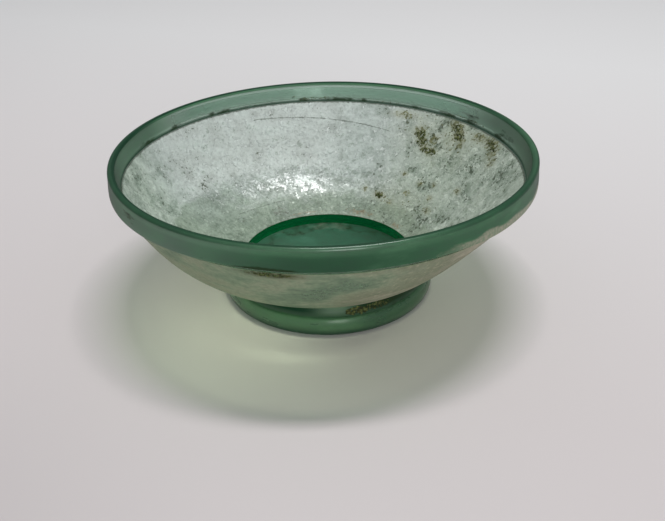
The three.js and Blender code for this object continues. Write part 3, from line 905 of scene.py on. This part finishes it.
def film_marks(bm):
    """Where the film is limy, stained, worn and thin."""
    rise = bm.verts.layers.float["rise"]
    limy, stained, worn, thin = [bm.verts.layers.float.new(name) for name in FILM_MARKS]
    for vert in bm.verts:
        angle = math.degrees(math.atan2(vert.co.y, vert.co.x))
        at = (angle, vert[rise])
        vert[worn] = strongest(at, WORN_MARKS)
        vert[thin] = thinness(*at)
        vert[limy] = smooth(-92, -72, angle) * (1 - smooth(-25, 20, angle))
        vert[stained] = spot(at, (-102, 0.965), (9, 0.03))


crust = turn(shell_section(CRUST_FOOT, CRUST_TOP, CRUST_BACK, CRUST_FACE, 72), 560)
settle(crust)
crust_marks(crust)
raise_scales(crust)
piece("inner_crust_flakes", crust, crust_finish, ("inner_crust",), 60)

film = turn(shell_section(FILM_FOOT, FILM_TOP, FILM_BACK, FILM_FACE, 48), 384)
settle(film)
film_marks(film)
piece("outer_film_skin", film, film_finish, ("outer_film",), 60)


# Soil
# How far a crumb's middle lies above the crust or the film, and above bare glass
CRUMB_SEAT = 0.04
GLASS_SEAT = 0.05
# Crumbs are made this many at a time, which is quicker than all in one mesh
BATCH = 20


def crumbs(spots, seed, place):
    """Crumbs of soil. A spot is a middle and a half reach in two directions, a count, and the
    smallest and largest crumb. place gives the point and the outward direction."""
    dice = random.Random(seed)
    whole = bmesh.new()
    for (u, v), (du, dv), count, (small, large) in spots:
        left = count
        while left > 0:
            some = bmesh.new()
            for _ in range(min(left, BATCH)):
                around, reach = dice.uniform(0, math.tau), math.sqrt(dice.random())
                at, out = place(u + du * reach * math.cos(around),
                                v + dv * reach * math.sin(around))
                size = small + (large - small) * dice.random() ** 2
                made = bmesh.ops.create_icosphere(some, subdivisions=1, radius=size * MM)["verts"]
                for vert in made:
                    vert.co *= 0.75 + 0.5 * dice.random()
                lie = out.to_track_quat("Z", "Y").to_matrix().to_4x4()
                spin = Matrix.Rotation(dice.uniform(0, math.tau), 4, "Z")
                flat = Matrix.Diagonal((1.0, dice.uniform(0.6, 1.0), 0.45, 1.0))
                bmesh.ops.transform(some, matrix=Matrix.Translation(at) @ lie @ spin @ flat,
                                    verts=made)
            batch = bpy.data.meshes.new("crumbs")
            some.to_mesh(batch)
            some.free()
            whole.from_mesh(batch)
            bpy.data.meshes.remove(batch)
            left -= BATCH
    return whole


def on_crust(degrees, share):
    seat = CRUST_FACE - CRUMB_SEAT
    at = on_wall(degrees, share, seat)
    return at, (on_wall(degrees, share, seat - 1) - at).normalized()


def on_film(degrees, share):
    seat = FILM_FACE + CRUMB_SEAT
    at = on_wall(degrees, share, seat)
    return at, (on_wall(degrees, share, seat + 1) - at).normalized()


def facing(degrees):
    """An angle round the bowl in radians, and the direction outward there."""
    around = math.radians(degrees)
    return around, Vector((math.cos(around), math.sin(around), 0.0))


def on_collar(degrees, height):
    around, out = facing(degrees)
    step = (height - COLLAR_BASE) / (BOWL_HEIGHT - LIP_THICKNESS / 2 - COLLAR_BASE)
    radius = COLLAR_INNER + (LIP_INNER - COLLAR_INNER) * step
    return on_bowl(around, radius - GLASS_SEAT, height), -out


def on_neck(degrees, height):
    around, out = facing(degrees)
    return on_bowl(around, NECK_RADIUS + GLASS_SEAT, height, FOOT_OFFSET), out


def soil_piece(node, spots, seed, place):
    bm = crumbs(spots, seed, place)
    piece(node + "_crumbs", bm, soil_finish, (node,), 180)


soil_piece("soil_back_right", [
    ((49.8, 0.862), (1.7, 0.028), 42, (0.2, 0.6)),
    ((48.4, 0.815), (1.6, 0.028), 34, (0.2, 0.6)),
    ((44.5, 0.775), (2.8, 0.018), 46, (0.2, 0.6)),
    ((41.0, 0.775), (1.2, 0.018), 20, (0.2, 0.6)),
    ((46.0, 0.83), (4.5, 0.055), 50, (0.15, 0.4))], 11, on_crust)
soil_piece("soil_right", [
    ((38.0, 0.955), (2.2, 0.022), 45, (0.2, 0.6)),
    ((34.5, 0.92), (2.2, 0.022), 45, (0.2, 0.6)),
    ((36.0, 0.94), (4.5, 0.04), 30, (0.15, 0.35))], 12, on_crust)
soil_piece("soil_far_right", [
    ((20.3, 0.965), (2.2, 0.018), 50, (0.2, 0.55)),
    ((18.0, 0.945), (1.6, 0.015), 30, (0.15, 0.5))], 13, on_crust)
soil_piece("soil_by_floor", [((57.2, 0.24), (2.0, 0.026), 64, (0.18, 0.55))], 14, on_crust)
soil_piece("soil_under_collar", [
    ((-101.5, 0.967), (4.4, 0.014), 90, (0.15, 0.5))], 15, on_film)
soil_piece("soil_foot_groove", [
    ((-75.0, 9.3), (6.0, 1.6), 130, (0.25, 0.7)),
    ((-64.0, 9.8), (9.0, 1.4), 90, (0.2, 0.55))], 16, on_neck)
piece("collar_soil_specks", crumbs([
    ((95.0, 50.2), (4.0, 0.7), 60, (0.1, 0.32)), ((88.0, 50.4), (3.0, 0.5), 30, (0.1, 0.3)),
    ((100.5, 51.3), (0.8, 0.4), 10, (0.12, 0.3)), ((65.0, 49.8), (9.0, 0.4), 45, (0.08, 0.25)),
    ((112.0, 49.8), (8.0, 0.4), 30, (0.08, 0.2)), ((36.0, 50.3), (9.0, 0.6), 60, (0.1, 0.3))],
    17, on_collar), soil_finish, (), 180)


# The table, the light and the camera
# How far the table reaches, and the place where its painted shade is darkest, in metres
TABLE_REACH = 3.0
SHADED_CORNER = (-0.16, -0.17, 0.0)


def tabletop():
    """Painted board, matt and pale. Painted light makes it lighter towards the back right, and
    painted shade darkens it towards the near left corner.
    """
    material, tree, place, _ = start_finish("painted board, matt")
    split = add(tree, "SeparateXYZ", {"Vector": place})
    # Painted light: the board is lighter towards the back right.
    far = add(tree, "Math", {
        0: split.outputs["X"], 1: 0.35, 2: split.outputs["Y"]}, operation="MULTIPLY_ADD")
    # Painted shade, darkest at the near left corner.
    corner = add(tree, "VectorMath", {0: place, 1: SHADED_CORNER}, operation="DISTANCE")
    dim = add(tree, "MapRange", {"Value": corner.outputs["Value"], "From Max": 0.16,
                                 "To Min": 0.78}, interpolation_type="SMOOTHSTEP")
    tone = add(tree, "MapRange", {"Value": far, "From Min": -0.06, "From Max": 0.35})
    shade = add(tree, "Mix", {
        "Factor": tone, "A": colour("#dad4d4"), "B": colour("#e9e9e9")}, data_type="RGBA")
    dimmed = add(tree, "Mix", {
        "Factor": 1.0, "A": shade, "B": dim}, data_type="RGBA", blend_type="MULTIPLY")
    skin = add(tree, "BsdfPrincipled", {"Base Color": dimmed, "Roughness": 0.75})
    add(tree, "OutputMaterial", {"Surface": skin})
    bm = bmesh.new()
    bmesh.ops.create_grid(bm, x_segments=2, y_segments=2, size=TABLE_REACH)
    new_object("tabletop", bm, material)


def lamp(name, at, aim, wide, high, power):
    data = bpy.data.lights.new(name, "AREA")
    data.shape = "RECTANGLE"
    data.size, data.size_y, data.energy = wide, high, power
    made = bpy.data.objects.new(name, data)
    made.location = at
    back = (Vector(at) - Vector(aim)).normalized()
    side = (Vector((1.0, 0.0, 0.0)) - back * back.x).normalized()
    made.rotation_euler = Matrix((side, back.cross(side), back)).transposed().to_euler()
    bpy.context.scene.collection.objects.link(made)


tabletop()
lamp("ceiling strip", (0.154, 0.168, 1.4), (0, 0, 0), 0.6, 0.154, 11)
lamp("window pane left", (0.18, -1.9, 0.62), (0, 0, 0.03), 0.24, 1.1, 5)
lamp("window pane right", (0.50, -1.83, 0.62), (0, 0, 0.03), 0.24, 1.1, 5)

world = bpy.data.worlds.new("room")
world.use_nodes = True
sky = world.node_tree.nodes["Background"].inputs
sky["Color"].default_value = (0.97, 0.97, 1.0, 1.0)
sky["Strength"].default_value = 0.30
bpy.context.scene.world = world


def look():
    """A 43 mm lens, 30 degrees above the table and a little off level."""
    aim, distance = Vector((2.85, 0.0, 8.04)), 319.71
    rise, roll = math.radians(30.11), math.radians(-0.81)
    data = bpy.data.cameras.new("camera")
    data.sensor_fit, data.sensor_width, data.lens = "HORIZONTAL", 36.0, 43.31
    data.clip_start, data.clip_end = 0.01, 20.0
    back = Vector((0.0, -math.cos(rise), math.sin(rise)))
    right = Vector((1.0, 0.0, 0.0))
    up = back.cross(right)
    side = right * math.cos(roll) + up * math.sin(roll)
    over = up * math.cos(roll) - right * math.sin(roll)
    at = (aim + back * distance) * MM
    made = bpy.data.objects.new("camera", data)
    made.matrix_world = Matrix((
        (side.x, over.x, back.x, at.x), (side.y, over.y, back.y, at.y),
        (side.z, over.z, back.z, at.z), (0, 0, 0, 1)))
    bpy.context.scene.collection.objects.link(made)
    bpy.context.scene.camera = made


look()
scene = bpy.context.scene
scene.view_settings.view_transform = "Standard"
# Light has to get through the glass, the crust and the film, on both sides
scene.cycles.transparent_max_bounces = 48
